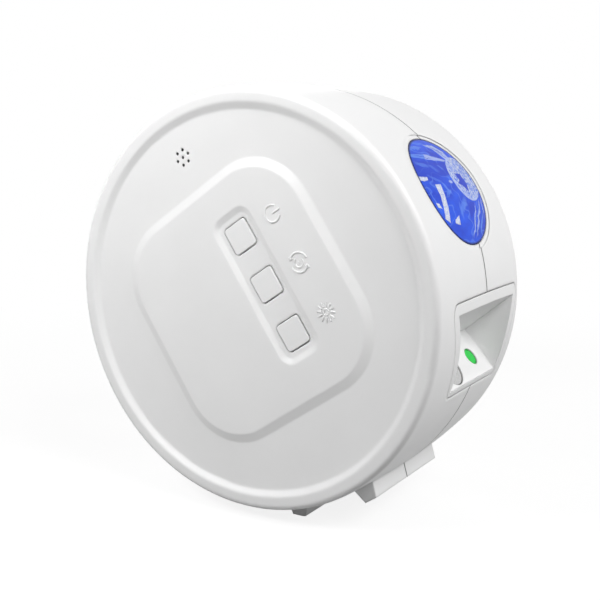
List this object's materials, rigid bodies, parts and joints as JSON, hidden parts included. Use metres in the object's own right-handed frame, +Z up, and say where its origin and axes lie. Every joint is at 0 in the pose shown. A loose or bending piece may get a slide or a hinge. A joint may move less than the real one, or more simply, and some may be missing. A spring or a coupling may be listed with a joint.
{
  "type": "star projector",
  "caption": "Drum-shaped night-light projector on moulded ribs: keys on its face, a nebula lens and a laser nook in its barrel, with driven ripple and grating discs inside.",
  "frame": {"origin": "centre of the footprint, on the surface that the drum stands on", "axes": "+Z up, drum axis along Y with the face with the keys towards -Y, lens and laser nook towards +X"},
  "size_m": [0.1508, 0.074, 0.154],
  "materials": {
    "white_shell": "satin moulded",
    "white_insert": "satin moulded",
    "white_key": "satin moulded",
    "clear_lens": "polished",
    "clear_disc": "rippled, polished",
    "green_window": "polished",
    "grey_window": "satin",
    "circuit_board": "solder mask",
    "black_plastic": "moulded",
    "black_rubber": "matte",
    "white_nylon": "moulded",
    "bright_reflector": "vacuum coated",
    "emitter": "phosphor",
    "zinc": "zinc plated",
    "steel": "ground",
    "aluminium": "machined",
    "brass": "turned"
  },
  "bodies": {
    "housing": {"front_shell": "white_shell", "rear_shell": "white_shell", "housing_screws": "zinc", "nebula_lens": "clear_lens", "laser_housing": "white_insert", "laser_window": "green_window", "ir_window": "grey_window", "button_board": "circuit_board", "tact_switches": "black_plastic", "board_screws": "zinc", "microphone": "aluminium", "microphone_seal": "black_rubber", "main_board": "circuit_board", "main_board_screws": "zinc", "control_chip": "black_plastic", "capacitors": "aluminium", "usb_socket": "zinc", "optics_frame": "black_plastic", "heat_sink": "aluminium", "led_board": "aluminium", "led_emitters": "emitter", "reflector": "bright_reflector", "condenser_lens": "clear_lens", "ripple_axle": "steel", "ripple_motor": "steel", "laser_bracket": "black_plastic", "laser_module": "brass", "grating_axle": "steel", "grating_motor": "steel", "bracket_screws": "zinc", "ir_receiver": "black_plastic"},
    "power_button": {"power_key": "white_key"},
    "mode_button": {"mode_key": "white_key"},
    "dimmer_button": {"dimmer_key": "white_key"},
    "ripple_wheel": {"ripple_disc": "clear_disc"},
    "ripple_drive": {"ripple_pinion": "white_nylon"},
    "grating_wheel": {"grating_disc": "clear_disc"},
    "grating_drive": {"grating_pinion": "white_nylon"}
  },
  "joints": [
    {"name": "power_press", "type": "slide", "parent": "housing", "child": "power_button", "axis": [0, 1, 0], "range_m": [0, 0.0005], "stiffness_N_per_m": 1500, "springref_m": -0.0006},
    {"name": "mode_press", "type": "slide", "parent": "housing", "child": "mode_button", "axis": [0, 1, 0], "range_m": [0, 0.0005], "stiffness_N_per_m": 1500, "springref_m": -0.0006},
    {"name": "dimmer_press", "type": "slide", "parent": "housing", "child": "dimmer_button", "axis": [0, 1, 0], "range_m": [0, 0.0005], "stiffness_N_per_m": 1500, "springref_m": -0.0006},
    {"name": "ripple_spin", "type": "hinge", "parent": "housing", "child": "ripple_wheel", "pos_m": [0.0465, -0.0029, 0.0955], "axis": [0.829, 0, 0.5592], "continuous": true},
    {"name": "ripple_pinion_spin", "type": "hinge", "parent": "housing", "child": "ripple_drive", "pos_m": [0.05154, 0.02202, 0.08804], "axis": [0.829, 0, 0.5592], "continuous": true},
    {"name": "grating_spin", "type": "hinge", "parent": "housing", "child": "grating_wheel", "pos_m": [0.05334, 0.013, 0.05948], "axis": [0.7547, 0, 0.6561], "continuous": true},
    {"name": "grating_pinion_spin", "type": "hinge", "parent": "housing", "child": "grating_drive", "pos_m": [0.05334, -0.0031, 0.05948], "axis": [0.7547, 0, 0.6561], "continuous": true}
  ],
  "couplings": [
    {"joint": "ripple_pinion_spin", "follows": "ripple_spin", "ratio": -5.6},
    {"joint": "grating_pinion_spin", "follows": "grating_spin", "ratio": -3}
  ]
}
